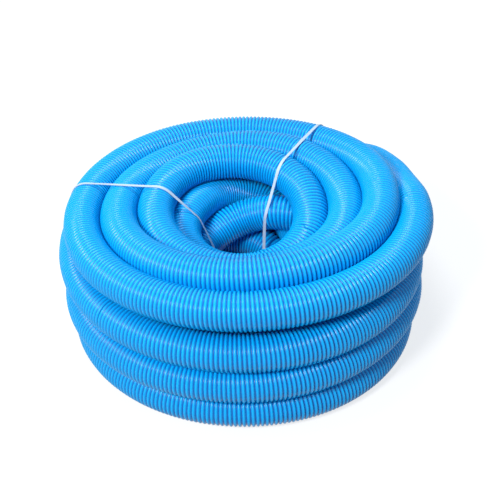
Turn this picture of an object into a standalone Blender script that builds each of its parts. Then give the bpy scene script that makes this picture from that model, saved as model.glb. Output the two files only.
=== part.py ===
"""Pool vacuum hose: a spiral-wound 38 mm hose coiled in four layers and tied with two tapes.

One end carries a swivel cuff that turns freely on a threaded ferrule, the other a fixed cuff.
The wound part is one turned ring of the coil's outer shape. Both ends leave it at the back.
Metres, +Z up, origin under the middle of the whole object's box.
"""

import math

import bmesh
import bpy
from mathutils import Matrix, Vector

# Hose and coil
HOSE_OD = 0.045  # over the ribs
HOSE_BORE = 0.038
COIL_RADIUS = 0.200  # to the centreline of the widest turn
RING_STEPS = 48
VALLEY_ANGLE = math.radians(40)  # how far each turn's arc runs into the valley beside it

# Clearances
SEAT_GAP = 0.0003  # between pieces that touch
RUNNING_GAP = 0.0004  # between pieces that turn on each other

# The outer turns of the coil's section, from the bottom outside corner anticlockwise:
# how far inside COIL_RADIUS, and how high, in hose diameters.
RIM_TURNS = (
    (0.15, 0.50),
    (0.05, 1.50),
    (0.00, 2.50),
    (0.03, 3.55),
    (0.90, 3.80),
    (1.80, 3.60),
    (2.60, 3.10),
    (2.90, 2.15),
    (3.00, 0.50),
)

# Threaded ferrule, fixed on the swivel end of the hose
FERRULE_WALL = 0.0019
FERRULE_SOCKET = 0.034
FERRULE_NOSE = 0.007  # in front of the hose's end, up to the flange
FLANGE_LIP = 0.0020
FLANGE_THICKNESS = 0.005

# Swivel cuff
CUFF_LENGTH = 0.092
CUFF_WALL = 0.0024
CUFF_MOUTH_RADIUS = 0.0248
CUFF_BORE_INNER = 0.0189
CUFF_BORE_MOUTH = 0.0194
CUFF_TAPER_START = 0.022
WASHER_THICKNESS = 0.002
RING_THICKNESS = 0.004
TURNED_STEPS = 36

# Fixed cuff
FIXED_LENGTH = 0.075
FIXED_SOCKET = 0.036
FIXED_WALL = 0.0037
FIXED_MOUTH_RADIUS = 0.0240

# Tape ties
TAPE_WIDTH = 0.005
TAPE_THICKNESS = 0.0008
TAPE_BEND_STEP = math.radians(8)
SLOPE_ALLOWANCE = 0.002  # the sloping hose end's section is taller than it is wide
TIE_ANGLES = {"tape_tie_left": math.radians(170), "tape_tie_right": math.radians(60)}

# Where the ends leave the coil, in hose diameters: out is beyond COIL_RADIUS.
FIXED_LEAVES = {"angle": math.radians(75), "out": 0.82, "height": 0.51}
FIXED_LINE_OUT = 0.72  # the fixed cuff's axis, behind the coil
SWIVEL_LEAVES = {"angle": math.radians(50), "out": 1.02, "height": 2.68}
SWIVEL_LINE_OUT = 1.05

HOSE_RADIUS = HOSE_OD / 2
BORE_RADIUS = HOSE_BORE / 2
SOCKET_RADIUS = HOSE_RADIUS + SEAT_GAP
BARREL_RADIUS = SOCKET_RADIUS + FERRULE_WALL
FLANGE_RADIUS = BARREL_RADIUS + FLANGE_LIP
COUNTERBORE = FLANGE_RADIUS + RUNNING_GAP
CUFF_RADIUS = COUNTERBORE + CUFF_WALL
FIXED_RADIUS = SOCKET_RADIUS + FIXED_WALL
SWIVEL_AXIS_Z = CUFF_RADIUS + SEAT_GAP
FIXED_AXIS_Z = FIXED_RADIUS + SEAT_GAP
RING_REACH = COIL_RADIUS + HOSE_RADIUS
SWIVEL_LINE = COIL_RADIUS + SWIVEL_LINE_OUT * HOSE_OD
FIXED_LINE = COIL_RADIUS + FIXED_LINE_OUT * HOSE_OD
# The origin is midway between the coil's front and the swivel cuff's back.
COIL_CENTRE = Vector((0, (RING_REACH - SWIVEL_LINE - CUFF_RADIUS) / 2, 0))


def clear_scene():
    for obj in list(bpy.data.objects):
        bpy.data.objects.remove(obj, do_unlink=True)


def material(name, colour, roughness, metallic=0.0):
    made = bpy.data.materials.new(name)
    made.use_nodes = True
    shader = made.node_tree.nodes["Principled BSDF"]
    shader.inputs["Base Color"].default_value = (*colour, 1)
    shader.inputs["Roughness"].default_value = roughness
    shader.inputs["Metallic"].default_value = metallic
    return made


def add_object(name, mesh, finish):
    mesh.materials.append(finish)
    obj = bpy.data.objects.new(name, mesh)
    bpy.context.scene.collection.objects.link(obj)
    return obj


def turned(name, profile, steps, finish):
    """A closed profile of (radius, height) points, turned about Z."""
    bm = bmesh.new()
    verts = [bm.verts.new((radius, 0, height)) for radius, height in profile]
    edges = [bm.edges.new((a, b)) for a, b in zip(verts, verts[1:] + verts[:1])]
    bmesh.ops.spin(
        bm,
        geom=verts + edges,
        cent=(0, 0, 0),
        axis=(0, 0, 1),
        angle=math.tau,
        steps=steps,
        use_merge=True,
    )
    bmesh.ops.recalc_face_normals(bm, faces=bm.faces)
    mesh = bpy.data.meshes.new(name)
    bm.to_mesh(mesh)
    bm.free()
    mesh.shade_smooth()
    mesh.set_sharp_from_angle(angle=math.radians(30))
    return add_object(name, mesh, finish)


def rim_circles():
    """The section's outer turns as (radius, height) centres."""
    return [
        Vector((COIL_RADIUS - inside * HOSE_OD, height * HOSE_OD))
        for inside, height in RIM_TURNS
    ]


def around_circles(centres, radius, overrun, step=math.radians(20)):
    """The outline round a convex loop of circles, each arc overrunning into the valleys.

    The last side, the one on the floor, is straight.
    """
    count = len(centres)
    sides = [centres[(i + 1) % count] - centres[i] for i in range(count)]
    normals = [math.atan2(side.y, side.x) - math.pi / 2 for side in sides]
    outline = []
    for i, centre in enumerate(centres):
        start, end = normals[i - 1], normals[i]
        while end < start:
            end += math.tau
        start -= overrun if i > 0 else 0
        end += overrun if i < count - 1 else 0
        parts = max(1, round((end - start) / step))
        for part in range(parts + 1):
            angle = start + (end - start) * part / parts
            outline.append(centre + radius * Vector((math.cos(angle), math.sin(angle))))
    return outline


def convex_loop(centres):
    """The centres that a tight band round all the circles touches, anticlockwise."""
    points = sorted((c.x, c.y) for c in centres)

    def half(ordered):
        chain = []
        for point in ordered:
            while len(chain) > 1 and cross(chain[-2], chain[-1], point) <= 0:
                chain.pop()
            chain.append(point)
        return chain[:-1]

    loop = half(points) + half(points[::-1])
    lowest = min(point[1] for point in loop)
    start = max((i for i in range(len(loop)) if loop[i][1] == lowest), key=lambda i: loop[i][0])
    return [Vector(point) for point in loop[start:] + loop[:start]]


def cross(a, b, c):
    return (b[0] - a[0]) * (c[1] - a[1]) - (b[1] - a[1]) * (c[0] - a[0])


def polar(angle, out, height):
    """A point beside the coil, out and height in hose diameters."""
    radius = COIL_RADIUS + out * HOSE_OD
    return Vector((radius * math.cos(angle), radius * math.sin(angle), height * HOSE_OD))


def fixed_end_points():
    """From the coil to the hose's end inside the fixed cuff."""
    leave = polar(*FIXED_LEAVES.values())
    line = [
        Vector((leave.x + along * HOSE_OD, FIXED_LINE, FIXED_AXIS_Z))
        for along in (1.0, 1.4)
    ]
    rise = (leave + line[0]) / 2
    end = Vector((fixed_cuff_rear() + FIXED_SOCKET - SEAT_GAP, FIXED_LINE, FIXED_AXIS_Z))
    return [leave, rise, *line, end]


def fixed_cuff_rear():
    return polar(*FIXED_LEAVES.values()).x + 1.05 * HOSE_OD


def swivel_end_points():
    """From the coil, down behind it, to the hose's end inside the ferrule."""
    first = polar(*SWIVEL_LEAVES.values())
    beside = [polar(math.radians(62), 1.03, 2.30), polar(math.radians(75), 1.03, 1.85)]
    behind = [
        Vector((beside[1].x - along * HOSE_OD, SWIVEL_LINE, height * HOSE_OD))
        for along, height in ((1.4, 1.28), (2.2, 0.90))
    ]
    rear = Vector((ferrule_rear(), SWIVEL_LINE, SWIVEL_AXIS_Z))
    end = rear - Vector((FERRULE_SOCKET - SEAT_GAP, 0, 0))
    return [first, *beside, *behind, rear + Vector((0.1 * HOSE_OD, 0, 0)), rear, end]


def ferrule_rear():
    return polar(math.radians(75), 1.03, 0).x - 3.1 * HOSE_OD


def smooth_route(points, spacing):
    """Points along a Catmull-Rom curve through the given ones."""
    padded = [2 * points[0] - points[1], *points, 2 * points[-1] - points[-2]]
    route = [points[0]]
    for before, a, b, after in zip(padded, padded[1:], padded[2:], padded[3:]):
        parts = max(1, round((b - a).length / spacing))
        for part in range(1, parts + 1):
            t = part / parts
            route.append(
                0.5
                * (
                    2 * a
                    + (b - before) * t
                    + (2 * before - 5 * a + 4 * b - after) * t**2
                    + (3 * a - before - 3 * b + after) * t**3
                )
            )
    return route


def hose_end(name, points, finish):
    """One end of the hose beside the coil, as a plain tube."""
    route = smooth_route(points, HOSE_OD)
    curve = bpy.data.curves.new(name, "CURVE")
    curve.dimensions = "3D"
    curve.bevel_depth = HOSE_RADIUS
    curve.bevel_resolution = 4
    curve.use_fill_caps = True
    curve.render_resolution_u = 0
    spline = curve.splines.new("POLY")
    spline.points.add(len(route) - 1)
    for point, place in zip(spline.points, route):
        point.co = (*(place + COIL_CENTRE), 1)
    return add_object(name, curve, finish)


def make_coil(finish):
    """The wound turns as one turned ring, with a groove under it for each tape."""
    outline = around_circles(rim_circles(), HOSE_RADIUS, VALLEY_ANGLE)
    ring = turned("hose_coil", outline, RING_STEPS, finish)
    ring.location = COIL_CENTRE
    width = RIM_TURNS[-1][0] * HOSE_OD
    depth = TAPE_THICKNESS + 3 * SEAT_GAP
    for name, angle in TIE_ANGLES.items():
        size = (width + 1.5 * HOSE_OD, TAPE_WIDTH + 2 * SEAT_GAP, 2 * depth)
        cutter = bar(f"{name}_groove", size, finish)
        outward = Vector((math.cos(angle), math.sin(angle), 0))
        cutter.location = COIL_CENTRE + outward * (COIL_RADIUS - width / 2)
        cutter.rotation_euler.z = angle
        cutter.hide_render = True
        cutter.display_type = "WIRE"
        groove = ring.modifiers.new(f"{name}_groove", "BOOLEAN")
        groove.operation = "DIFFERENCE"
        groove.solver = "EXACT"
        groove.object = cutter
    return ring


def bar(name, size, finish):
    bm = bmesh.new()
    bmesh.ops.create_cube(bm, size=1, matrix=Matrix.Diagonal((*size, 1)))
    mesh = bpy.data.meshes.new(name)
    bm.to_mesh(mesh)
    bm.free()
    return add_object(name, mesh, finish)


def make_tie(name, angle, extra, finish):
    """A flat tape drawn tight round the coil's section, and round the extra circles."""
    loop = convex_loop(rim_circles() + extra)
    inner = around_circles(loop, HOSE_RADIUS + SEAT_GAP, 0, TAPE_BEND_STEP)
    outer = around_circles(loop, HOSE_RADIUS + SEAT_GAP + TAPE_THICKNESS, 0, TAPE_BEND_STEP)
    lift = 2 * SEAT_GAP + TAPE_THICKNESS  # the stretch on the floor lies in the coil's groove
    on_floor = (loop[-1].x, loop[0].x)
    bm = bmesh.new()
    corners = []
    for point_in, point_out in zip(inner, outer):
        under = point_in.y < HOSE_RADIUS - SEAT_GAP and on_floor[0] <= point_in.x <= on_floor[1]
        rise = lift + SEAT_GAP * 1e-3 if under else 0
        low = max(point_out.y + rise, SEAT_GAP)
        high = max(point_in.y + rise, SEAT_GAP + TAPE_THICKNESS)
        corners.append(
            [
                bm.verts.new((point.x, side, height))
                for point, height in ((point_in, high), (point_out, low))
                for side in (-TAPE_WIDTH / 2, TAPE_WIDTH / 2)
            ]
        )
    for here, there in zip(corners, corners[1:] + corners[:1]):
        for a, b in ((0, 1), (1, 3), (3, 2), (2, 0)):
            bm.faces.new((here[a], here[b], there[b], there[a]))
    bmesh.ops.recalc_face_normals(bm, faces=bm.faces)
    mesh = bpy.data.meshes.new(name)
    bm.to_mesh(mesh)
    bm.free()
    tie = add_object(name, mesh, finish)
    tie.location = COIL_CENTRE
    tie.rotation_euler.z = angle
    return tie


def swivel_hose_section(angle):
    """Where the swivel end of the hose crosses the plane at this angle."""
    route = smooth_route(swivel_end_points(), HOSE_OD / 20)
    place = min(route, key=lambda p: abs(math.atan2(p.y, p.x) - angle))
    return Vector((math.hypot(place.x, place.y) + SEAT_GAP, place.z))


def ferrule_profile():
    """(radius, distance from the rear face) points of the threaded ferrule."""
    shoulder = FERRULE_SOCKET
    flange = shoulder + FERRULE_NOSE
    front = flange + FLANGE_THICKNESS
    return (
        (SOCKET_RADIUS, 0),
        (BARREL_RADIUS, 0),
        (BARREL_RADIUS, flange),
        (FLANGE_RADIUS, flange),
        (FLANGE_RADIUS, front),
        (BORE_RADIUS, front),
        (BORE_RADIUS, shoulder),
        (SOCKET_RADIUS, shoulder),
    )


def swivel_stack():
    """Distances from the ferrule's rear face along the swivel's axis."""
    flange_rear = FERRULE_SOCKET + FERRULE_NOSE
    flange_front = flange_rear + FLANGE_THICKNESS
    ring_front = flange_rear - RUNNING_GAP
    washer_rear = flange_front + RUNNING_GAP
    washer_front = washer_rear + WASHER_THICKNESS
    return {
        "cuff_rear": ring_front - RING_THICKNESS,
        "ring_front": ring_front,
        "washer_rear": washer_rear,
        "washer_front": washer_front,
        "step": washer_front + SEAT_GAP,
    }


def cuff_profile():
    """(radius, distance from the cuff's rear face) points of the swivel cuff."""
    stack = swivel_stack()
    step = stack["step"] - stack["cuff_rear"]
    collar = CUFF_TAPER_START
    edge = 0.0012
    return (
        (COUNTERBORE, 0),
        (CUFF_RADIUS - edge, 0),
        (CUFF_RADIUS, edge),
        (CUFF_RADIUS, collar),
        (CUFF_RADIUS - CUFF_WALL, collar + 2 * edge),
        (CUFF_MOUTH_RADIUS, CUFF_LENGTH - edge),
        (CUFF_MOUTH_RADIUS - edge, CUFF_LENGTH),
        (CUFF_BORE_MOUTH, CUFF_LENGTH),
        (CUFF_BORE_INNER, step + 2 * collar),
        (CUFF_BORE_INNER, step),
        (COUNTERBORE, step),
    )


def fixed_cuff_profile():
    """(radius, distance from the rear face) points of the fixed cuff."""
    edge = 0.0012
    return (
        (SOCKET_RADIUS, 0),
        (FIXED_RADIUS - edge, 0),
        (FIXED_RADIUS, edge),
        (FIXED_RADIUS, FIXED_SOCKET),
        (FIXED_MOUTH_RADIUS, FIXED_LENGTH - edge),
        (FIXED_MOUTH_RADIUS - edge, FIXED_LENGTH),
        (CUFF_BORE_MOUTH, FIXED_LENGTH),
        (CUFF_BORE_INNER, FIXED_SOCKET + CUFF_TAPER_START / 2),
        (CUFF_BORE_INNER, FIXED_SOCKET),
        (SOCKET_RADIUS, FIXED_SOCKET),
    )


def flat_ring(inner, outer, thickness):
    return ((inner, 0), (outer, 0), (outer, thickness), (inner, thickness))


def along_x(obj, x, y, z, direction):
    """Lays a turned piece down, its rear face at x and its axis along +X or -X."""
    obj.rotation_euler = (0, direction * math.pi / 2, 0)
    obj.location = COIL_CENTRE + Vector((x, y, z))
    return obj


def make_swivel_end(plastic, rubber, cuff_finish):
    stack = swivel_stack()
    rear = ferrule_rear()
    pieces = (
        ("swivel_ferrule", ferrule_profile(), 0, plastic),
        ("swivel_cuff", cuff_profile(), stack["cuff_rear"], cuff_finish),
        (
            "retaining_ring",
            flat_ring(BARREL_RADIUS + RUNNING_GAP, COUNTERBORE - SEAT_GAP, RING_THICKNESS),
            stack["cuff_rear"],
            plastic,
        ),
        (
            "seal_washer",
            flat_ring(CUFF_BORE_INNER + SEAT_GAP, COUNTERBORE - SEAT_GAP, WASHER_THICKNESS),
            stack["washer_rear"],
            rubber,
        ),
    )
    for name, profile, distance, finish in pieces:
        piece = turned(name, profile, TURNED_STEPS, finish)
        along_x(piece, rear - distance, SWIVEL_LINE, SWIVEL_AXIS_Z, -1)


def make_fixed_end(finish):
    cuff = turned("fixed_cuff", fixed_cuff_profile(), TURNED_STEPS, finish)
    along_x(cuff, fixed_cuff_rear(), FIXED_LINE, FIXED_AXIS_Z, 1)


def main():
    clear_scene()
    hose = material("hose_blue", (0.01, 0.33, 0.80), 0.32)
    charcoal = material("cuff_charcoal", (0.03, 0.03, 0.035), 0.45)
    grey = material("swivel_grey", (0.25, 0.26, 0.28), 0.40)
    rubber = material("seal_rubber", (0.02, 0.02, 0.02), 0.80)
    tape = material("tie_tape", (0.80, 0.84, 0.88), 0.30)
    make_coil(hose)
    hose_end("hose_end_swivel", swivel_end_points(), hose)
    hose_end("hose_end_fixed", fixed_end_points(), hose)
    make_swivel_end(grey, rubber, charcoal)
    make_fixed_end(charcoal)
    section = swivel_hose_section(TIE_ANGLES["tape_tie_right"])
    held = [section + Vector((0, side * SLOPE_ALLOWANCE)) for side in (-1, 1)]
    make_tie("tape_tie_left", TIE_ANGLES["tape_tie_left"], [], tape)
    make_tie("tape_tie_right", TIE_ANGLES["tape_tie_right"], held, tape)


main()
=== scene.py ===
# %% [markdown]
# # A coiled pool vacuum hose
#
# A spiral-wound hose, 38 mm inside and 45 mm over its ribs, hand-wound into a coil four layers
# high and tied with two flat tapes. One end has a swivel cuff, the other a fixed one.
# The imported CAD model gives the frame, so everything here lies in its row frame, in metres.

import math

import bpy
import numpy as np
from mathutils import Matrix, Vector


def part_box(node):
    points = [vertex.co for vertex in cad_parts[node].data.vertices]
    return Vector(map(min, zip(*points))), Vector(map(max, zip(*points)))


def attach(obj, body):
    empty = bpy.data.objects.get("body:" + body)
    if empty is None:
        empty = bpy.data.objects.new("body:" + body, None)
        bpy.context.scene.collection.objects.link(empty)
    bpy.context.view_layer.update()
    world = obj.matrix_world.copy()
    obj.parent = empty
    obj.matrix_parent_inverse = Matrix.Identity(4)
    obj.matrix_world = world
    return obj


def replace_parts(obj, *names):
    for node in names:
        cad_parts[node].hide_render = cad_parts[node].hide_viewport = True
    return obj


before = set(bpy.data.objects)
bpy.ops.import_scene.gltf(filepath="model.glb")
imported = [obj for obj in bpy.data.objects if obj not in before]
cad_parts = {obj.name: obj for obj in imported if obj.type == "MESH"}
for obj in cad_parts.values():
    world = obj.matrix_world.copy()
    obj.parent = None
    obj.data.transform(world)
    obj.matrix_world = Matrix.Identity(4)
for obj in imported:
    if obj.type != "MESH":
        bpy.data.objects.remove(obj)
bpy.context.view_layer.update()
bpy.ops.object.select_all(action="DESELECT")
print("CAD nodes:", sorted(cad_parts))

# %% [markdown]
# ## Sizes that everything shares
#
# A hose's own diameter is the natural ruler for its coil, so the winding is planned in hose
# diameters and only turned into metres at the end. The coil's axis stands a little in front of
# the origin, because both ends of the hose lie behind the coil.

# %% Hose sizes and the coil's place
HOSE_OD = 0.045
RIB_PITCH = 0.0048
GROOVE_RADIUS = 0.443 * HOSE_OD
BORE_RADIUS = 0.0190
COIL_AXIS = np.array([0.0, -0.027125, 0.0])


def in_metres(points):
    """Points in hose diameters about the coil's axis, as metres in the row frame."""
    return np.asarray(points, float) * HOSE_OD + COIL_AXIS


# %% [markdown]
# ## Camera
#
# The camera looks down on the coil from about 36 degrees, from 1.45 m away. A long lens from
# there keeps the far side of the coil nearly as large as the near side.

# %% Place the camera
CAMERA_ELEVATION = math.radians(35.97)
CAMERA_DISTANCE = 1.449
CAMERA_LENS, SENSOR_WIDTH = 83.75, 36  # mm
LOOKS_AT = (0.01, 0.0, 2.318)  # in hose diameters from the foot of the coil's axis

target = Vector(in_metres(LOOKS_AT))
backwards = Vector((0, -math.cos(CAMERA_ELEVATION), math.sin(CAMERA_ELEVATION)))
camera = bpy.data.objects.new("camera", bpy.data.cameras.new("camera"))
bpy.context.scene.collection.objects.link(camera)
camera.data.lens = CAMERA_LENS
camera.data.sensor_width = SENSOR_WIDTH
camera.location = target + backwards * CAMERA_DISTANCE
camera.rotation_euler = (-backwards).to_track_quat("-Z", "Y").to_euler()
bpy.context.scene.camera = camera
print("camera at", [round(x, 3) for x in camera.location])

# %% [markdown]
# ## The winding plan
#
# Somebody wound this hose by hand, counter-clockwise and upwards. The bottom layer runs from
# the outside in, the next from the inside out, and so on. Each turn is planned by its radius
# and height at the front, with a small sway, because no hand-wound turn is a true circle.
# Each turn crosses over to the next place at the back of the coil, where the layers also rise.
#
# A plain helix would be shorter to write, but it looks machine-wound: every turn would lie
# exactly over the one beneath, and nothing would be seen of the crossings. Two short tables of
# given values keep the look of a hand-wound coil, and a formula turns them into the line.

# %% Turns and crossings
# In hose diameters: the radius with its sway to the right and to the back, then the height
# with its tilt to the right and to the back.
TURNS = (
    (4.21, -0.20, -0.12, 0.50, 0.00, 0.00),
    (3.30, -0.05, 0.00, 0.50, 0.00, 0.00),
    (2.35, -0.03, 0.00, 0.50, 0.00, 0.00),
    (1.42, 0.00, 0.00, 0.52, 0.00, 0.00),
    (2.40, 0.00, 0.00, 1.46, 0.00, 0.00),
    (3.33, -0.05, 0.00, 1.47, 0.00, 0.00),
    (4.30, -0.30, -0.21, 1.46, 0.00, 0.00),
    (4.38, -0.30, 0.00, 2.46, 0.00, 0.00),
    (3.43, 0.00, 0.00, 2.44, 0.00, 0.00),
    (2.45, 0.00, 0.00, 2.44, 0.00, 0.00),
    (1.62, 0.10, 0.20, 1.93, 0.08, 0.05),
    (1.88, 0.00, 0.00, 3.08, 0.12, 0.25),
    (2.66, 0.00, 0.02, 3.60, 0.15, 0.12),
    (3.50, 0.00, 0.10, 3.78, 0.25, -0.14),
    (4.28, -0.06, -0.05, 3.65, 0.16, -0.06),
)
# Middle and width of each crossing in degrees, then its bulge outwards and upwards.
CROSSINGS = (
    (79, 184, 0.00, 0.00),
    (79, 184, 0.00, 0.00),
    (79, 184, 0.00, 0.00),
    (70, 165, 0.10, 0.10),
    (79, 184, 0.00, 0.00),
    (85, 184, 0.00, 0.00),
    (130, 110, 0.30, 0.00),
    (125, 184, 0.00, 0.00),
    (150, 150, 0.00, 0.00),
    (20, 110, 0.00, 0.00),
    (90, 184, 0.68, -0.07),
    (79, 184, -0.05, 0.03),
    (79, 184, 0.00, 0.05),
    (79, 184, 0.00, 0.00),
)
BULGE_SPREAD = 38.0  # degrees to either side of a crossing that its bulge fades over
COIL_STARTS, COIL_ENDS = -222.0, 360.0 * (len(TURNS) - 1) + 4.0  # degrees
print(len(TURNS), "turns planned, with", len(CROSSINGS), "crossings")

# %% Angles to points on the coil


def ease(t):
    """0 before, 1 after, with no kink in between."""
    t = np.clip(t, 0, 1)
    return t**3 * (t * (6 * t - 15) + 10)


def turn_at(turn, angle):
    """Radius and height of one turn at an angle, with its sway and tilt."""
    radius, right, back, height, tilt_right, tilt_back = TURNS[turn]
    return np.stack(
        [
            radius + right * np.cos(angle) + back * np.sin(angle),
            height + tilt_right * np.cos(angle) + tilt_back * np.sin(angle),
        ]
    )


def coil_line(degrees):
    """The whole winding: each turn eases into the next one at its crossing."""
    angle = np.radians(degrees)
    place = turn_at(0, angle)
    for k, (middle, width, out, up) in enumerate(CROSSINGS):
        past = degrees - middle - 360 * k
        step = turn_at(k + 1, angle) - turn_at(k, angle)
        place = place + ease(past / width + 0.5) * step
        place = place + np.array([[out], [up]]) * np.exp(-((past / BULGE_SPREAD) ** 2))
    radius, height = place
    return np.stack([radius * np.cos(angle), radius * np.sin(angle), height], -1)


bottom_front = coil_line(np.array([270.0 - 360.0]))[0]
print("the first turn passes the front at", bottom_front.round(2), "diameters")


# %% [markdown]
# ## The two ends of the hose
#
# Both ends leave the coil at the back. The first lies on the floor and runs into the fixed cuff.
# The last comes off the top layer, slopes down behind the coil and runs into the swivel end. A
# few given points and one smooth curve through them give each route, as a real end lies where
# somebody happened to put it down.

# %% End routes


def beside(degrees, radius, height):
    angle = math.radians(degrees)
    return [radius * math.cos(angle), radius * math.sin(angle), height]


FIXED_ROUTE = [
    [3.206, 5.164, 0.596],
    [2.413, 5.164, 0.596],
    [2.0, 5.15, 0.57],
    beside(75, 5.264, 0.51),
    [0.3, 4.96, 0.5],
    [-0.8, 4.62, 0.5],
    [-1.9, 4.18, 0.5],
]
SWIVEL_ROUTE = [
    beside(20, 4.44, 3.46),
    beside(35, 4.88, 3.14),
    beside(50, 5.43, 2.69),
    beside(62, 5.474, 2.30),
    beside(75, 5.474, 1.85),
    [0.017, 5.494, 1.28],
    [-0.783, 5.494, 0.90],
    [-1.583, 5.494, 0.662],
    [-1.683, 5.494, 0.662],
    [-2.432, 5.494, 0.662],
]


def curve_through(points, spacing):
    """A centripetal Catmull-Rom curve, which makes no loops between unevenly spaced points."""
    p = np.asarray(points, float)
    p = np.vstack([2 * p[0] - p[1], p, 2 * p[-1] - p[-2]])
    line = [p[1][None]]
    for a, b, c, d in zip(p, p[1:], p[2:], p[3:]):
        ka, kb, kc = (np.linalg.norm(q) ** 0.5 for q in (b - a, c - b, d - c))
        leave = kb * ((b - a) / ka - (c - a) / (ka + kb) + (c - b) / kb)
        arrive = kb * ((c - b) / kb - (d - b) / (kb + kc) + (d - c) / kc)
        parts = max(1, round(float(np.linalg.norm(c - b)) / spacing))
        t = (np.arange(1, parts + 1) / parts)[:, None]
        line.append(
            (2 * t**3 - 3 * t**2 + 1) * b
            + (t**3 - 2 * t**2 + t) * leave
            + (3 * t**2 - 2 * t**3) * c
            + (t**3 - t**2) * arrive
        )
    return np.vstack(line)


def lengths_along(line):
    return np.r_[0, np.cumsum(np.linalg.norm(np.diff(line, axis=0), axis=1))]


def evenly(line, spacing):
    """The same line with a point every spacing."""
    along = lengths_along(line)
    wanted = np.linspace(0, along[-1], round(along[-1] / spacing) + 1)
    return np.stack([np.interp(wanted, along, line[:, i]) for i in range(3)], -1)


print("routes of", len(FIXED_ROUTE), "and", len(SWIVEL_ROUTE), "points for the two ends")

# %% [markdown]
# Coil and ends are one hose, so they are joined into one line before anything is built on
# them. Each end's curve also runs through a point further along the coil, so that it leaves
# the coil in the coil's own direction, and it is then cut where the coil begins.

# %% Join ends and coil into one line
COIL_STEP = 4.0  # degrees
END_STEP, PLAN_STEP = 0.1, 0.25  # hose diameters


def nearest(line, point):
    return int(np.argmin(np.linalg.norm(line - point, axis=1)))


wound = coil_line(np.arange(COIL_STARTS, COIL_ENDS + 0.1, COIL_STEP))
lead_in = curve_through([*FIXED_ROUTE, wound[0], wound[6]], END_STEP)
lead_in = lead_in[: nearest(lead_in, wound[0])]
lead_out = curve_through([wound[-6], wound[-1], *SWIVEL_ROUTE], END_STEP)
lead_out = lead_out[nearest(lead_out, wound[-1]) + 1 :]
planned = evenly(np.vstack([lead_in, wound, lead_out]), PLAN_STEP)
print("planned length", round(lengths_along(planned)[-1] * HOSE_OD, 2), "m")

# %% [markdown]
# ## Let the turns settle
#
# A plan drawn turn by turn always has places where the hose runs through itself. On the real
# coil the turns push each other aside until they only touch. The same is done here: wherever
# two stretches are nearer than one diameter, both are pushed apart, and the push is smoothed
# along the hose, because a stiff hose bends in long curves. The top layer and the outside
# hold their place best, so the hidden turns move most.

# %% Settle the hose
SETTLE_SWEEPS = 300
NEIGHBOURS = 8  # points along the hose that may lie closer than a diameter
WATCHED = 1.25  # diameters within which two points are checked for touching
EASE_BACK = 0.995  # share of its shift that the line keeps from sweep to sweep
SMOOTHINGS = 3
HELD_FIRST, HELD_LAST = 22, 34  # points at the two ends that don't move at all
LOWEST_TURN, HIGHEST_TURN = 0.5, 4.10  # diameters, of the hose's centreline
OUTSIDE_FROM, OUTSIDE_GIVE = 3.9, 0.3  # radius of the coil's outer turns, and how they give
TOP_FROM, TOP_GIVE = 0.71, 0.12  # share of the hose below the top layer, and how that gives
FINE_STEP, LINE_STEP = 0.0008, 0.001


def holding(line):
    """How easily each point gives way, from 0 to 1."""
    count = len(line)
    give = np.ones(count)
    radius = np.hypot(line[:, 0], line[:, 1])
    give[(line[:, 1] < 1.0) & (radius > OUTSIDE_FROM)] = OUTSIDE_GIVE
    give[np.arange(count) > TOP_FROM * count] = TOP_GIVE
    return give


def settle(plan):
    """The planned line with its turns pushed apart until they only touch."""
    line, give = plan.copy(), holding(plan)
    for sweep in range(SETTLE_SWEEPS):
        if sweep % 5 == 0:
            apart = ((line[:, None] - line[None]) ** 2).sum(-1)
            one, other = np.where(np.triu(apart < WATCHED**2, NEIGHBOURS))
        between = line[one] - line[other]
        distance = np.maximum(np.linalg.norm(between, axis=1), 1e-6)
        short = np.maximum(1.0 - distance, 0)
        push = between * (0.5 * short / distance / (give[one] + give[other]))[:, None]
        moved, touches = np.zeros_like(line), np.zeros(len(line))
        np.add.at(moved, one, push * give[one][:, None])
        np.add.at(moved, other, -push * give[other][:, None])
        np.add.at(touches, one, short > 0)
        np.add.at(touches, other, short > 0)
        shift = EASE_BACK * (line + moved / np.maximum(1, touches / 4)[:, None] - plan)
        for _ in range(SMOOTHINGS):
            shift[1:-1] = 0.25 * shift[:-2] + 0.5 * shift[1:-1] + 0.25 * shift[2:]
        shift[:HELD_FIRST] = 0
        shift[-HELD_LAST:] = 0
        line = plan + shift
        line[:, 2] = np.clip(line[:, 2], LOWEST_TURN, HIGHEST_TURN)
    return line


settled = settle(planned)
hose_line = evenly(curve_through(in_metres(settled), FINE_STEP), LINE_STEP)
hose_length = float(lengths_along(hose_line)[-1])
print("hose length", round(hose_length, 3), "m in", len(hose_line), "points")

# %% [markdown]
# ## The ribbed wall
#
# The wall of such a hose is a strip wound in a spiral and welded, so its rounded ribs form one
# long screw thread. Separate rings or a bump in the material would show as steps or as a flat
# outline. The real screw is hardly more work: each vertex round the hose is moved along it by
# its share of one rib. The last column of faces then joins the first one rib further on, so
# the first column is one rib longer than the others. Five rings of vertices to a rib give it a
# rounded back and a narrow groove.

# %% Build ribbed hose
SIDES = 24
RINGS_PER_RIB = 5
CREST, SHOULDER = 0.5 * HOSE_OD, 0.484 * HOSE_OD
RIB_PROFILE = (GROOVE_RADIUS, SHOULDER, CREST, CREST, SHOULDER)
GROOVE_DEPTH = (1.0, 0.35, 0.0, 0.0, 0.35)  # how deep in the groove each ring lies, 0 to 1
RING_STEP = RIB_PITCH / RINGS_PER_RIB
LAST_RING = int(hose_length / RING_STEP) - RINGS_PER_RIB - 1
along_hose = lengths_along(hose_line)
tangents = np.gradient(hose_line, axis=0)
tangents /= np.linalg.norm(tangents, axis=1, keepdims=True)


def sample(values, distance):
    return np.stack([np.interp(distance, along_hose, values[:, i]) for i in range(3)], -1)


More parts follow.
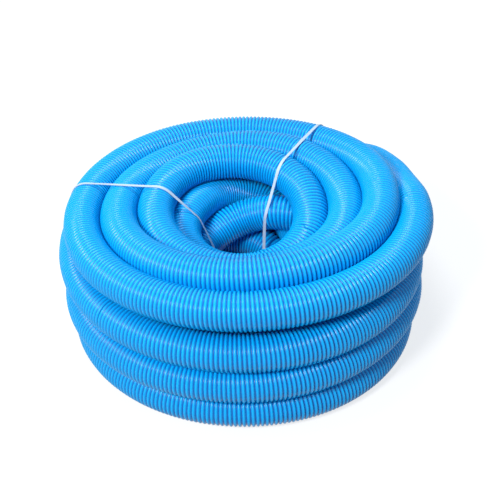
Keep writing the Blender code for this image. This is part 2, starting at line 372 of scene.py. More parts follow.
def wall_points(distance, angle, radius):
    """Points on the wall, at distances along the hose and angles round it."""
    forward = sample(tangents, distance)
    forward /= np.linalg.norm(forward, axis=-1, keepdims=True)
    up = np.array([0.0, 0.0, 1.0]) - forward[..., 2:] * forward
    up /= np.linalg.norm(up, axis=-1, keepdims=True)
    side = np.cross(forward, up)
    out = up * np.cos(angle)[..., None] + side * np.sin(angle)[..., None]
    return sample(hose_line, distance) + out * np.asarray(radius)[..., None]


def screw(rings):
    """Distances and angles of the wall's vertices, ring by ring."""
    turn = np.arange(SIDES) / SIDES
    distance = (rings[:, None] + RINGS_PER_RIB * turn[None]) * RING_STEP
    angle = np.broadcast_to(2 * math.pi * turn, distance.shape)
    return distance, angle


def wall_faces(rings):
    """The wall's quads: round each ring, then across the seam where it steps on by one rib."""
    quads = []
    for i in range(rings - 1):
        here, there = i * SIDES, (i + 1) * SIDES
        for j in range(SIDES - 1):
            quads.append((here + j, here + j + 1, there + j + 1, there + j))
    for i in range(rings - 1 - RINGS_PER_RIB):
        low, high = i * SIDES + SIDES - 1, (i + RINGS_PER_RIB) * SIDES
        quads.append((low, high, high + SIDES, low + SIDES))
    high = [(rings - 1) * SIDES, *range(rings * SIDES, rings * SIDES + RINGS_PER_RIB)]
    for i in range(RINGS_PER_RIB):
        low = (rings - RINGS_PER_RIB + i) * SIDES - 1
        quads.append((low, high[i], high[i + 1], low + SIDES))
    return quads


def end_loops(rings):
    """The vertices round each end, in the order that makes an end face point outwards."""
    first = [i * SIDES for i in range(RINGS_PER_RIB + 1)] + list(range(SIDES - 1, 0, -1))
    last = (rings - 1) * SIDES
    extra = range(rings * SIDES, rings * SIDES + RINGS_PER_RIB)
    return first, [*range(last, last + SIDES), *reversed(extra)]


def bored_end(points, faces, loop, distance, angle, inwards):
    """Opens an end: a cut edge, then the bore's wall, closed one diameter inside."""
    spots, turns = distance[loop], angle[loop]
    bore = np.full(len(loop), BORE_RADIUS)
    for depth in (0.0, inwards * HOSE_OD):
        start = len(points)
        points = np.vstack([points, wall_points(spots + depth, turns, bore)])
        inner = list(range(start, start + len(loop)))
        for a, b, c, d in zip(loop, loop[1:] + loop[:1], inner[1:] + inner[:1], inner):
            faces.append((a, b, c, d))
        loop = inner
    faces.append(tuple(loop))
    return points, faces


def make_hose_length(name, first, last, bored=None):
    """The wall from one ring to another as an object, with one end bored if it is an open end."""
    rings = np.arange(first, last + 1)
    distance, angle = screw(rings)
    step = np.arange(last + 1, last + RINGS_PER_RIB + 1)
    distance = np.r_[distance.ravel(), step * RING_STEP]
    angle = np.r_[angle.ravel(), 0.0 * step]
    place = np.r_[np.repeat(rings, SIDES), step] % RINGS_PER_RIB
    points = wall_points(distance, angle, np.array(RIB_PROFILE)[place])
    faces = wall_faces(len(rings))
    start, finish = end_loops(len(rings))
    for end, loop, inwards in (("start", start, 1), ("finish", finish, -1)):
        if bored == end:
            points, faces = bored_end(points, faces, loop, distance, angle, inwards)
        else:
            faces.append(tuple(loop))
    mesh = bpy.data.meshes.new(name)
    mesh.from_pydata(points.tolist(), [], faces)
    # The groove depth masks the painted groove shade and the dust. The bore's vertices get its
    # full amount, so the open ends are painted in shade inside.
    depth = mesh.attributes.new("groove_depth", "FLOAT", "POINT")
    grooves = np.array(GROOVE_DEPTH)[place]
    depth.data.foreach_set("value", np.r_[grooves, np.ones(len(points) - len(grooves))])
    mesh.shade_smooth()
    for face in mesh.polygons:
        face.use_smooth = len(face.vertices) == 4
    hose = bpy.data.objects.new(name, mesh)
    bpy.context.scene.collection.objects.link(hose)
    print(name, len(faces), "faces")
    return hose


print("rings of", SIDES, "vertices every", round(RING_STEP * 1000, 2), "mm, up to", LAST_RING)

# %% [markdown]
# ## Four lengths of hose
#
# The real hose is one piece. As one mesh it would be too heavy to handle, so it is cut into
# four lengths that meet in a groove, where a cut can't be seen. Only the two real ends are
# open, with the wall's cut edge and the start of the bore. The others are closed faces that
# lie on each other.

# %% Four lengths of hose
HOSE_LENGTHS = 4
cuts = [
    round(LAST_RING * k / HOSE_LENGTHS / RINGS_PER_RIB) * RINGS_PER_RIB
    for k in range(HOSE_LENGTHS)
] + [LAST_RING]
hose_pieces = []
for k in range(HOSE_LENGTHS):
    bored = {0: "start", HOSE_LENGTHS - 1: "finish"}.get(k)
    piece = make_hose_length(f"hose_length_{k + 1}", cuts[k], cuts[k + 1], bored)
    hose_pieces.append(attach(piece, "hose"))
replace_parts(hose_pieces[0], "hose_end_fixed")
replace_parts(hose_pieces[1], "hose_coil")
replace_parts(hose_pieces[3], "hose_end_swivel")

# %% [markdown]
# ## Tape ties
#
# Each tie is a flat polyethylene tape drawn tight round the whole section of the coil and
# knotted. Where it bridges the valley between two turns it runs straight. So the tape is found
# as a stretched band: the turns that cross the tie's plane are drawn as circles, and the tape
# follows the outline that a rubber band round them would take.

# %% Find the tape's path
TAPE_WIDTH = 0.0038
TAPE_THICKNESS = 0.0005
TAPE_CLEARANCE = 0.0006
TAPE_STEP = 0.004
TIES = {"tape_tie_left": 170.0, "tape_tie_right": 60.0}  # degrees round the coil


def turns_in_plane(degrees):
    """Radius and height, from the coil's axis, where the hose crosses the plane."""
    towards = np.array([math.cos(math.radians(degrees)), math.sin(math.radians(degrees))])
    flat = hose_line[:, :2] - COIL_AXIS[:2]
    across = flat[:, 0] * -towards[1] + flat[:, 1] * towards[0]
    out = flat @ towards
    hits = np.where((across[:-1] * across[1:] <= 0) & (out[:-1] > 0))[0]
    return np.stack([out[hits], hose_line[hits, 2]], -1)


def rubber_band(circles, radius):
    """The convex outline of circles, anticlockwise, as (radius, height) points."""
    turn = np.linspace(0, 2 * math.pi, 72, endpoint=False)
    rim = radius * np.stack([np.cos(turn), np.sin(turn)], -1)
    points = sorted(map(tuple, (circles[:, None] + rim[None]).reshape(-1, 2)))

    def half(ordered):
        chain = []
        for p in ordered:
            while len(chain) > 1:
                a, b = chain[-2:]
                if (b[0] - a[0]) * (p[1] - a[1]) - (b[1] - a[1]) * (p[0] - a[0]) > 0:
                    break
                chain.pop()
            chain.append(p)
        return chain[:-1]

    return np.array(half(points) + half(points[::-1]))


def even_loop(loop, spacing):
    closed = np.vstack([loop, loop[:1]])
    along = np.r_[0, np.cumsum(np.linalg.norm(np.diff(closed, axis=0), axis=1))]
    wanted = np.linspace(0, along[-1], round(along[-1] / spacing), endpoint=False)
    return np.stack([np.interp(wanted, along, closed[:, i]) for i in range(2)], -1)


# %% Make flat tape


def tape_mesh(name, middles, across, outward, closed):
    """A flat tape of rectangular section through middles."""
    half_width, half_thick = TAPE_WIDTH / 2, TAPE_THICKNESS / 2
    corners = np.stack(
        [
            middles + across * (half_width * w) + outward * (half_thick * t)
            for w, t in ((-1, -1), (1, -1), (1, 1), (-1, 1))
        ],
        1,
    )
    count = len(middles)
    faces = []
    for i in range(count if closed else count - 1):
        here, there = 4 * i, 4 * ((i + 1) % count)
        for k in range(4):
            n = (k + 1) % 4
            faces.append((here + k, there + k, there + n, here + n))
    if not closed:
        faces += [(0, 1, 2, 3), (4 * count - 1, 4 * count - 2, 4 * count - 3, 4 * count - 4)]
    mesh = bpy.data.meshes.new(name)
    mesh.from_pydata(corners.reshape(-1, 3).tolist(), [], faces)
    tape = bpy.data.objects.new(name, mesh)
    bpy.context.scene.collection.objects.link(tape)
    return tape


def one_selected(obj):
    bpy.ops.object.select_all(action="DESELECT")
    bpy.context.view_layer.objects.active = obj
    obj.select_set(True)


def outward_faces(obj):
    """Turns every face of a closed piece to point outwards."""
    one_selected(obj)
    bpy.ops.object.mode_set(mode="EDIT")
    bpy.ops.mesh.select_all(action="SELECT")
    bpy.ops.mesh.normals_make_consistent(inside=False)
    bpy.ops.object.mode_set(mode="OBJECT")
    obj.select_set(False)


def plane_to_row(points, degrees):
    """(radius, height) points in the tie's plane, as row frame points."""
    angle = math.radians(degrees)
    towards = np.array([math.cos(angle), math.sin(angle), 0.0])
    return COIL_AXIS + points[:, :1] * towards + np.array([0, 0, 1.0]) * points[:, 1:]


tie_paths = {}
tie_pieces = []
for name, degrees in TIES.items():
    circles = turns_in_plane(degrees)
    loop = even_loop(rubber_band(circles, HOSE_OD / 2 + TAPE_CLEARANCE), TAPE_STEP)
    loop[:, 1] = np.maximum(loop[:, 1], TAPE_CLEARANCE)
    middles = plane_to_row(loop, degrees)
    forward = np.roll(middles, -1, 0) - np.roll(middles, 1, 0)
    forward /= np.linalg.norm(forward, axis=1, keepdims=True)
    across = np.array([-math.sin(math.radians(degrees)), math.cos(math.radians(degrees)), 0.0])
    outward = np.cross(across, forward)
    t = np.arange(len(loop)) / len(loop) * 2 * math.pi
    twist = (0.16 * np.sin(5 * t + 1) + 0.10 * np.sin(9 * t))[:, None]
    turned_across = across * np.cos(twist) + outward * np.sin(twist)
    turned_outward = outward * np.cos(twist) - across * np.sin(twist)
    drift = (0.0018 * np.sin(3 * t + 0.5))[:, None] * across
    tape = tape_mesh(name + "_tape", middles + drift, turned_across, turned_outward, True)
    outward_faces(tape)
    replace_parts(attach(tape, "hose"), name)
    tie_pieces.append(tape)
    tie_paths[name] = (middles, across, outward)
    print(name, "crosses", len(circles), "turns, loop", round(len(loop) * TAPE_STEP, 3), "m")

# %% [markdown]
# ## Knots
#
# A tape tie ends in a knot with two short tails. The knot is a small closed wrap of the same
# tape, and the tails are two flat strips that spring away from it. They sit on the outer side
# at the back of each tie, where the person who tied the coil pulled them tight.

# %% Knots and tails
KNOT_HEIGHTS = {"tape_tie_left": 0.078, "tape_tie_right": 0.098}
KNOT_RADIUS = 0.0042
TAILS = ((0.017, -0.030), (-0.021, -0.024))  # how far each tail runs sideways and drops
# How far out a tail lies, and its share of the sideways run and of the drop, point by point.
TAIL_ROUTE = ((0.0016, 0.0, 0.0), (0.0035, 0.35, 0.10), (0.0060, 0.80, 0.50), (0.0052, 1.05, 1.0))


def strip_along(name, points, face_out):
    """An open strip of tape along points, lying with its flat side towards face_out."""
    line = curve_through(points, 0.003)
    forward = np.gradient(line, axis=0)
    forward /= np.linalg.norm(forward, axis=1, keepdims=True)
    across = np.cross(forward, face_out)
    across /= np.linalg.norm(across, axis=1, keepdims=True)
    return tape_mesh(name, line, across, np.cross(across, forward), False)


def knot_wrap(name, middle, up, out, side):
    """A closed wrap of tape round the standing tape, wound twice over itself."""
    turn = np.linspace(0, 4 * math.pi, 48, endpoint=False)
    swell = KNOT_RADIUS * (1 + 0.16 * np.sin(turn / 2))
    lift = 0.0024 * np.sin(turn / 2)
    flat = side * np.cos(turn)[:, None] + out * (0.45 * np.sin(turn))[:, None]
    line = middle + flat * swell[:, None] + up * lift[:, None]
    forward = np.roll(line, -1, 0) - np.roll(line, 1, 0)
    forward /= np.linalg.norm(forward, axis=1, keepdims=True)
    across = up - forward * (forward @ up)[:, None]
    across /= np.linalg.norm(across, axis=1, keepdims=True)
    return tape_mesh(name, line, across, np.cross(across, forward), True)


for name, (middles, across, outward) in tie_paths.items():
    radius = np.linalg.norm((middles - COIL_AXIS)[:, :2], axis=1)
    height_off = np.abs(middles[:, 2] - KNOT_HEIGHTS[name])
    at = int(np.argmin(height_off + 10 * (radius < 0.9 * radius.max())))
    out, up = outward[at], np.array([0.0, 0.0, 1.0])
    middle = middles[at] + out * 0.0024
    wrap = knot_wrap(name + "_knot", middle, up, out, across)
    tails = []
    for k, (sideways, drop) in enumerate(TAILS):
        route = [
            middle + out * lift + across * sideways * run + up * drop * fall
            for lift, run, fall in TAIL_ROUTE
        ]
        tails.append(strip_along(f"{name}_tail_{k + 1}", route, out))
    for piece in (wrap, *tails):
        outward_faces(piece)
        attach(piece, "hose")
        tie_pieces.append(piece)
print(len(tie_pieces), "tape pieces")

# %% [markdown]
# ## The cuffs
#
# A hose cuff is a turned moulding: a stepped tube with a wide collar, a slightly tapered nose
# that a fitting pushes into, and grips for wet hands. It could be made by a spin of its
# profile. Here it is drawn as a pipe maker would draw it: a ring of edges is extruded from
# station to station along the axis, out over the outside and back through the bore, and the
# last ring is bridged to the first so that the wall is closed. Chamfers come from a Bevel.

# %% Turn a moulding from stations
SWIVEL_AXIS = Vector((0.0, 0.220125, 0.0298))
FIXED_AXIS = Vector((0.0, 0.205275, 0.0268))
AROUND = 64
CHAMFER = 0.0003


def turned_wall(name, axis, stations):
    """A closed tube wall through (x, radius) stations, outside first and back inside."""
    bpy.ops.object.select_all(action="DESELECT")
    x, radius = stations[0]
    bpy.ops.mesh.primitive_circle_add(
        vertices=AROUND,
        radius=radius,
        location=(x, axis.y, axis.z),
        rotation=(0, math.pi / 2, 0),
    )
    wall = bpy.context.object
    wall.name = wall.data.name = name
    bpy.ops.object.transform_apply(location=True, rotation=True, scale=True)
    bpy.ops.object.mode_set(mode="EDIT")
    bpy.ops.mesh.select_all(action="SELECT")
    for (x0, r0), (x1, r1) in zip(stations, stations[1:]):
        bpy.ops.mesh.extrude_edges_move(TRANSFORM_OT_translate={"value": (x1 - x0, 0, 0)})
        if abs(r1 - r0) > 1e-9:
            bpy.ops.transform.resize(
                value=(1, r1 / r0, r1 / r0), center_override=(x1, axis.y, axis.z)
            )
    bpy.ops.mesh.select_all(action="DESELECT")
    bpy.ops.mesh.select_mode(type="EDGE")
    bpy.ops.mesh.select_non_manifold()
    bpy.ops.mesh.bridge_edge_loops()
    bpy.ops.mesh.select_all(action="SELECT")
    bpy.ops.mesh.normals_make_consistent(inside=False)
    bpy.ops.object.mode_set(mode="OBJECT")
    return wall


def round_the_edges(obj):
    one_selected(obj)
    bevel = obj.modifiers.new("soft edges", "BEVEL")
    bevel.width = CHAMFER
    bevel.segments = 2
    bevel.limit_method = "ANGLE"
    bevel.angle_limit = math.radians(35)
    bpy.ops.object.modifier_apply(modifier=bevel.name)
    bpy.ops.object.shade_smooth_by_angle(angle=math.radians(30))
    obj.select_set(False)


def sunk_flutes(obj, axis, x_range, least_radius, every, depth):
    """Grip flutes: every so many faces of an outer band are inset and pressed in."""
    one_selected(obj)
    bpy.ops.object.mode_set(mode="EDIT")
    bpy.ops.mesh.select_mode(type="FACE")
    bpy.ops.mesh.select_all(action="DESELECT")
    bpy.ops.object.mode_set(mode="OBJECT")
    chosen = 0
    for face in obj.data.polygons:
        off = Vector((0, face.center.y - axis.y, face.center.z - axis.z))
        inside = x_range[0] < face.center.x < x_range[1] and off.length > least_radius
        if not inside or abs(face.normal.x) > 0.5 or face.normal.dot(off) < 0:
            continue
        step = math.atan2(off.z, off.y) / (2 * math.pi) * AROUND
        if math.floor(step + 0.001) % every == 0:
            face.select = True
            chosen += 1
    bpy.ops.object.mode_set(mode="EDIT")
    bpy.ops.mesh.inset(thickness=0.0006, depth=-depth, use_individual=True)
    bpy.ops.object.mode_set(mode="OBJECT")
    obj.select_set(False)
    print(obj.name, chosen, "flutes")


print("mouldings turned about", tuple(SWIVEL_AXIS), "and", tuple(FIXED_AXIS))

# %% [markdown]
# The swivel cuff turns freely on the ferrule. It has a thick collar with pressed-in grip
# flutes round its rear, a groove and a bead, and then the tapered nose. The flutes are faces
# of the collar, inset and pushed in, so they turn with the cuff.

# %% Swivel cuff
cuff_low, cuff_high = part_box("swivel_cuff")
mouth_x, rear_x = cuff_low[0], cuff_high[0]
swivel_cuff = turned_wall(
    "swivel_cuff_moulding",
    SWIVEL_AXIS,
    (
        (rear_x, 0.0271),
        (rear_x, 0.0295),
        (rear_x - 0.0040, 0.0295),
        (rear_x - 0.0046, 0.0289),
        (rear_x - 0.0064, 0.0289),
        (rear_x - 0.0070, 0.0295),
        (rear_x - 0.0210, 0.0295),
        (rear_x - 0.0245, 0.0271),
        (rear_x - 0.0300, 0.0268),
        (rear_x - 0.0306, 0.0273),
        (rear_x - 0.0336, 0.0272),
        (rear_x - 0.0342, 0.0266),
        (rear_x - 0.0560, 0.0258),
        (mouth_x + 0.0060, 0.0249),
        (mouth_x, 0.0246),
        (mouth_x, 0.0202),
        (mouth_x + 0.0015, 0.0194),
        (rear_x - 0.0560, 0.0189),
        (rear_x - 0.0121, 0.0189),
        (rear_x - 0.0121, 0.0271),
    ),
)
sunk_flutes(swivel_cuff, SWIVEL_AXIS, (rear_x - 0.0205, rear_x - 0.0075), 0.0285, 2, 0.0007)
round_the_edges(swivel_cuff)
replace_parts(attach(swivel_cuff, "swivel"), "swivel_cuff")
print("swivel cuff from", round(mouth_x, 4), "to", round(rear_x, 4))

# %% [markdown]
# The fixed cuff is screwed on to the other end and doesn't turn. Five low ridges give the hand
# its grip, and one bead shows how far the nose goes into a fitting. Its ridges repeat, so they
# are worked out by a loop and set in among the other stations.

# %% Fixed cuff
cuff_low, cuff_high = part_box("fixed_cuff")
back_x, face_x = cuff_low[0], cuff_high[0]
ridges = []
for k in range(5):
    x = back_x + 0.0085 + 0.0050 * k
    ridges += [(x, 0.0256), (x + 0.0006, 0.0265), (x + 0.0024, 0.0265), (x + 0.0030, 0.0256)]
fixed_cuff = turned_wall(
    "fixed_cuff_moulding",
    FIXED_AXIS,
    (
        (back_x, 0.0228),
        (back_x, 0.0265),
        (back_x + 0.0050, 0.0265),
        (back_x + 0.0058, 0.0256),
        *ridges,
        (back_x + 0.0360, 0.0256),
        (back_x + 0.0368, 0.0262),
        (back_x + 0.0388, 0.0262),
        (back_x + 0.0396, 0.0254),
        (face_x - 0.0060, 0.0242),
        (face_x, 0.0238),
        (face_x, 0.0202),
        (face_x - 0.0015, 0.0194),
        (back_x + 0.0470, 0.0189),
        (back_x + 0.0360, 0.0189),
        (back_x + 0.0360, 0.0228),
    ),
)
round_the_edges(fixed_cuff)
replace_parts(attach(fixed_cuff, "hose"), "fixed_cuff")
print("fixed cuff from", round(back_x, 4), "to", round(face_x, 4))

# %% [markdown]
# The ferrule is the grey sleeve that is screwed on to the hose and carries the swivel cuff.
# Four low bands give grip, and the shoulder in front of them stops the cuff.

# %% Threaded ferrule
ferrule_low, ferrule_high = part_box("swivel_ferrule")
rear = ferrule_high[0]
grips = []
for k in range(4):
    x = rear - 0.0050 - 0.0060 * k
    grips += [(x, 0.0241), (x - 0.0006, 0.0247), (x - 0.0030, 0.0247), (x - 0.0036, 0.0241)]
ferrule = turned_wall(
    "swivel_ferrule_moulding",
    SWIVEL_AXIS,
    (
        (rear, 0.0228),
        (rear, 0.0247),
        (rear - 0.0030, 0.0247),
        (rear - 0.0036, 0.0241),
        *grips,
        (rear - 0.0340, 0.0241),
        (rear - 0.0346, 0.0247),
        (rear - 0.0410, 0.0247),
        (rear - 0.0410, 0.0267),
        (rear - 0.0460, 0.0267),
        (rear - 0.0460, 0.0190),
        (rear - 0.0340, 0.0190),
        (rear - 0.0340, 0.0228),
    ),
)
round_the_edges(ferrule)
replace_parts(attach(ferrule, "hose"), "swivel_ferrule")
bpy.context.view_layer.update()
print("ferrule's rear at", round(rear, 4))

# %% [markdown]
# ## How the lengths of hose meet
#
# Lengths one to three join the next one, and the first and last end in fittings.


# %% [markdown]
# ## Finishes
#
# The hose is glossy azure plastic, moulded through and through, so its colour hardly changes.
# What changes is the gloss, which is a little uneven, and the dust that gathers in the grooves
# between the ribs, where a painted shade also deepens the blue. The gloss and the dust are node
# groups, because the other plastics on the object use them too, with their own amounts.

# %% Shared effects
def new_group(name, inputs, outputs):
    group = bpy.data.node_groups.new(name, "ShaderNodeTree")
    for label, kind, value in inputs:
        socket = group.interface.new_socket(label, in_out="INPUT", socket_type=kind)
        if value is not None:
            socket.default_value = value
    for label, kind in outputs:
        group.interface.new_socket(label, in_out="OUTPUT", socket_type=kind)
    ends = group.nodes.new("NodeGroupInput"), group.nodes.new("NodeGroupOutput")
    return group, *ends


def add_node(tree, kind, **settings):
    node = tree.nodes.new(kind)
    for key, value in settings.items():
        setattr(node, key, value)
    return node


def moulded_plastic_group():
    """Uneven gloss and a faint drift of the colour, as on any moulded or wound plastic."""
    group, start, end = new_group(
        "moulded plastic",
        [
            ("Colour", "NodeSocketColor", (0.5, 0.5, 0.5, 1)),
            ("Deep colour", "NodeSocketColor", (0.2, 0.2, 0.2, 1)),
            ("Drift", "NodeSocketFloat", 0.3),
            ("Roughness", "NodeSocketFloat", 0.4),
            ("Unevenness", "NodeSocketFloat", 0.1),
            ("Patch size", "NodeSocketFloat", 14.0),
        ],
        [("Colour", "NodeSocketColor"), ("Roughness", "NodeSocketFloat")],
    )
    place = add_node(group, "ShaderNodeTexCoord")
    patches = add_node(group, "ShaderNodeTexNoise")
    patches.inputs["Detail"].default_value = 3
    fine = add_node(group, "ShaderNodeTexNoise")
    fine.inputs["Scale"].default_value = 420
    fine.inputs["Detail"].default_value = 2
    amount = add_node(group, "ShaderNodeMath", operation="MULTIPLY")
    mix = add_node(group, "ShaderNodeMix", data_type="RGBA")
    centred = add_node(group, "ShaderNodeMath", operation="SUBTRACT")
    centred.inputs[1].default_value = 0.5
    spread = add_node(group, "ShaderNodeMath", operation="MULTIPLY_ADD")
    link = group.links.new
    link(place.outputs["Object"], patches.inputs["Vector"])
    link(place.outputs["Object"], fine.inputs["Vector"])
    link(start.outputs["Patch size"], patches.inputs["Scale"])
    link(patches.outputs["Fac"], amount.inputs[0])
    link(start.outputs["Drift"], amount.inputs[1])
    link(amount.outputs[0], mix.inputs["Factor"])
    link(start.outputs["Colour"], mix.inputs["A"])
    link(start.outputs["Deep colour"], mix.inputs["B"])
    link(fine.outputs["Fac"], centred.inputs[0])
    link(centred.outputs[0], spread.inputs[0])
    link(start.outputs["Unevenness"], spread.inputs[1])
    link(start.outputs["Roughness"], spread.inputs[2])
    link(mix.outputs["Result"], end.inputs["Colour"])
    link(spread.outputs[0], end.inputs["Roughness"])
    return group


def settled_dust_group():
    """Dust where it settles: a mask in, the dusted colour and roughness out."""
    group, start, end = new_group(
        "settled dust",
        [
            ("Colour", "NodeSocketColor", (0.5, 0.5, 0.5, 1)),
            ("Roughness", "NodeSocketFloat", 0.4),
            ("Mask", "NodeSocketFloat", 0.0),
            ("Dust colour", "NodeSocketColor", (0.35, 0.36, 0.36, 1)),
            ("Amount", "NodeSocketFloat", 0.2),
        ],
        [("Colour", "NodeSocketColor"), ("Roughness", "NodeSocketFloat")],
    )
    place = add_node(group, "ShaderNodeTexCoord")
    clumps = add_node(group, "ShaderNodeTexNoise")
    clumps.inputs["Scale"].default_value = 60
    clumps.inputs["Detail"].default_value = 4
    patchy = add_node(group, "ShaderNodeMath", operation="MULTIPLY")
    amount = add_node(group, "ShaderNodeMath", operation="MULTIPLY")
    mix = add_node(group, "ShaderNodeMix", data_type="RGBA")
    rougher = add_node(group, "ShaderNodeMath", operation="MULTIPLY_ADD")
    rougher.inputs[1].default_value = 0.35
    link = group.links.new
    link(place.outputs["Object"], clumps.inputs["Vector"])
    link(start.outputs["Mask"], patchy.inputs[0])
    link(clumps.outputs["Fac"], patchy.inputs[1])
    link(patchy.outputs[0], amount.inputs[0])
    link(start.outputs["Amount"], amount.inputs[1])
    link(amount.outputs[0], mix.inputs["Factor"])
    link(start.outputs["Colour"], mix.inputs["A"])
    link(start.outputs["Dust colour"], mix.inputs["B"])
    link(amount.outputs[0], rougher.inputs[0])
    link(start.outputs["Roughness"], rougher.inputs[2])
    link(mix.outputs["Result"], end.inputs["Colour"])
    link(rougher.outputs[0], end.inputs["Roughness"])
    return group


MOULDED = moulded_plastic_group()
DUST = settled_dust_group()
print("shared effects:", MOULDED.name, "and", DUST.name)

# %% [markdown]
# ## Materials
#
# Each material places the shared effects with its own values and keeps its own shader. The hose
# reads the groove depth that was stored on its mesh, so its grooves get a painted shade in a
# deeper blue and hold the dust. The other pieces have no such attribute and take a patchy dust
# all over.

# %% Make the materials
def plastic(name, colour, deep, roughness, patches, dust, groove=None):
    """A plastic with the shared effects. Patches are (drift, unevenness, size)."""
    finish = bpy.data.materials.new(name)
    finish.use_nodes = True
    tree = finish.node_tree
    shader = tree.nodes["Principled BSDF"]
    shader.inputs["Specular IOR Level"].default_value = 0.25
    base = add_node(tree, "ShaderNodeGroup", node_tree=MOULDED)
    base.inputs["Colour"].default_value = (*colour, 1)
    base.inputs["Deep colour"].default_value = (*deep, 1)
    base.inputs["Roughness"].default_value = roughness
    for label, value in zip(("Drift", "Unevenness", "Patch size"), patches):
        base.inputs[label].default_value = value
    dusty = add_node(tree, "ShaderNodeGroup", node_tree=DUST)
    dusty.inputs["Amount"].default_value = dust
    tree.links.new(base.outputs["Colour"], dusty.inputs["Colour"])
    tree.links.new(base.outputs["Roughness"], dusty.inputs["Roughness"])
    # Painted shade: with a groove colour, it is mixed in by the stored groove depth, darkest at
    # the groove's bottom, where shade falls.
    if groove:
        depth = add_node(tree, "ShaderNodeAttribute", attribute_name="groove_depth")
        shade = add_node(tree, "ShaderNodeMix", data_type="RGBA")
        shade.inputs["B"].default_value = (*groove, 1)
        tree.links.new(depth.outputs["Fac"], shade.inputs["Factor"])
        tree.links.new(base.outputs["Colour"], shade.inputs["A"])
        tree.links.new(shade.outputs["Result"], dusty.inputs["Colour"])
        tree.links.new(depth.outputs["Fac"], dusty.inputs["Mask"])
    else:
        dusty.inputs["Mask"].default_value = 0.4
    tree.links.new(dusty.outputs["Colour"], shader.inputs["Base Color"])
    tree.links.new(dusty.outputs["Roughness"], shader.inputs["Roughness"])
    return finish


AZURE = (0.002, 0.47, 0.90)
AZURE_DEEP = (0.002, 0.38, 0.84)
# The groove colour below is painted shade: a deep blue that darkens the grooves between the ribs
# and the bore, where shade falls.
AZURE_GROOVE_PAINTED_SHADE = (0.001, 0.055, 0.36)
CHARCOAL, CHARCOAL_DEEP = (0.035, 0.036, 0.04), (0.02, 0.02, 0.024)
GREY, GREY_DEEP = (0.24, 0.25, 0.27), (0.2, 0.21, 0.23)
RUBBER, RUBBER_DEEP = (0.02, 0.02, 0.02), (0.012, 0.012, 0.012)
MILKY, MILKY_DEEP = (0.66, 0.75, 0.84), (0.50, 0.62, 0.74)
hose_azure = plastic("hose_azure", AZURE, AZURE_DEEP, 0.27, (0.6, 0.08, 9.0), 0.02, AZURE_GROOVE_PAINTED_SHADE)
charcoal = plastic("cuff_charcoal", CHARCOAL, CHARCOAL_DEEP, 0.42, (0.5, 0.2, 30), 0.15)
swivel_grey = plastic("swivel_grey", GREY, GREY_DEEP, 0.38, (0.5, 0.2, 30), 0.15)
rubber_black = plastic("seal_rubber", RUBBER, RUBBER_DEEP, 0.75, (0.5, 0.2, 40), 0.2)
tape_white = plastic("tape_white", MILKY, MILKY_DEEP, 0.28, (0.8, 0.15, 60), 0.08)
tape_white.node_tree.nodes["Principled BSDF"].inputs["Alpha"].default_value = 0.85
print("materials:", [finish.name for finish in bpy.data.materials if finish.use_nodes])

# %% Give every piece its finish
def finish_with(obj, finish):
    obj.data.materials.clear()
    obj.data.materials.append(finish)


for piece in hose_pieces:
    finish_with(piece, hose_azure)
for piece in tie_pieces:
    finish_with(piece, tape_white)
    one_selected(piece)
    bpy.ops.object.shade_smooth_by_angle(angle=math.radians(40))
    piece.select_set(False)
finish_with(swivel_cuff, charcoal)
finish_with(fixed_cuff, charcoal)
finish_with(ferrule, swivel_grey)
finish_with(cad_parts["retaining_ring"], swivel_grey)
finish_with(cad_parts["seal_washer"], rubber_black)
print(len(hose_pieces) + len(tie_pieces) + 5, "pieces finished")

# %% [markdown]
# ## Studio
#
# A plain pale floor and a white surround. The camera, reflections and refractions see white,
# while the light that falls on the object stays gentle and comes mostly from above and from
# the left front, where one large soft light stands. The floor keeps the coil's soft shadow.

# %% Floor, surround and lights
bpy.ops.mesh.primitive_plane_add(size=30, location=(0, 0, -0.0002))
floor = bpy.context.object
floor.name = "studio_floor"


def white_to_camera(tree):
    """1 for the rays that should find plain white."""
    path = add_node(tree, "ShaderNodeLightPath")
    seen = path.outputs["Is Camera Ray"]
    for kind in ("Is Glossy Ray", "Is Transmission Ray"):
        either = add_node(tree, "ShaderNodeMath", operation="MAXIMUM")
        tree.links.new(seen, either.inputs[0])
        tree.links.new(path.outputs[kind], either.inputs[1])
        seen = either.outputs[0]
    return seen


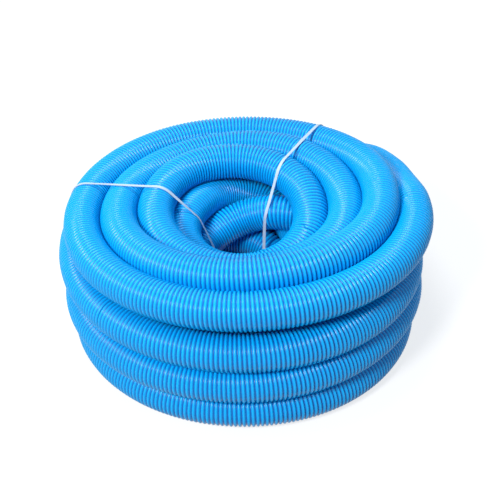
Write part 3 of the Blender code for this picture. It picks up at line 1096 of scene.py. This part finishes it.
def floor_finish():
    finish = bpy.data.materials.new("studio_floor")
    finish.use_nodes = True
    tree = finish.node_tree
    tree.nodes.remove(tree.nodes["Principled BSDF"])
    matt = add_node(tree, "ShaderNodeBsdfDiffuse")
    matt.inputs["Color"].default_value = (0.32, 0.31, 0.30, 1)
    glow = add_node(tree, "ShaderNodeEmission")
    glow.inputs["Strength"].default_value = 0.76
    both = add_node(tree, "ShaderNodeAddShader")
    choose = add_node(tree, "ShaderNodeMixShader")
    seen = white_to_camera(tree)
    tree.links.new(matt.outputs[0], both.inputs[0])
    tree.links.new(glow.outputs[0], both.inputs[1])
    tree.links.new(seen, choose.inputs[0])
    tree.links.new(matt.outputs[0], choose.inputs[1])
    tree.links.new(both.outputs[0], choose.inputs[2])
    tree.links.new(choose.outputs[0], tree.nodes["Material Output"].inputs["Surface"])
    return finish


def white_world():
    world = bpy.data.worlds.new("studio_world")
    world.use_nodes = True
    tree = world.node_tree
    light = tree.nodes["Background"]
    light.inputs["Color"].default_value = (0.52, 0.75, 1, 1)
    light.inputs["Strength"].default_value = 0.52
    white = add_node(tree, "ShaderNodeBackground")
    white.inputs["Strength"].default_value = 1.0
    white.inputs["Color"].default_value = (1, 1, 1, 1)
    choose = add_node(tree, "ShaderNodeMixShader")
    seen = white_to_camera(tree)
    tree.links.new(seen, choose.inputs[0])
    tree.links.new(light.outputs[0], choose.inputs[1])
    tree.links.new(white.outputs[0], choose.inputs[2])
    tree.links.new(choose.outputs[0], tree.nodes["World Output"].inputs["Surface"])
    return world


def soft_light(name, place, size, power):
    lamp = bpy.data.lights.new(name, "AREA")
    lamp.shape = "DISK"
    lamp.size = size
    lamp.energy = power
    obj = bpy.data.objects.new(name, lamp)
    obj.location = place
    obj.rotation_euler = (Vector((0, 0, 0.1)) - obj.location).to_track_quat("-Z", "Y").to_euler()
    bpy.context.scene.collection.objects.link(obj)


finish_with(floor, floor_finish())
bpy.context.scene.world = white_world()
soft_light("key_left_front", (-1.05, -1.8, 1.8), 0.6, 58)
soft_light("top_soft", (-0.4, 0.2, 2.4), 1.0, 30)
bpy.context.scene.view_settings.view_transform = "Standard"
print("two soft lights, a floor and a white surround")
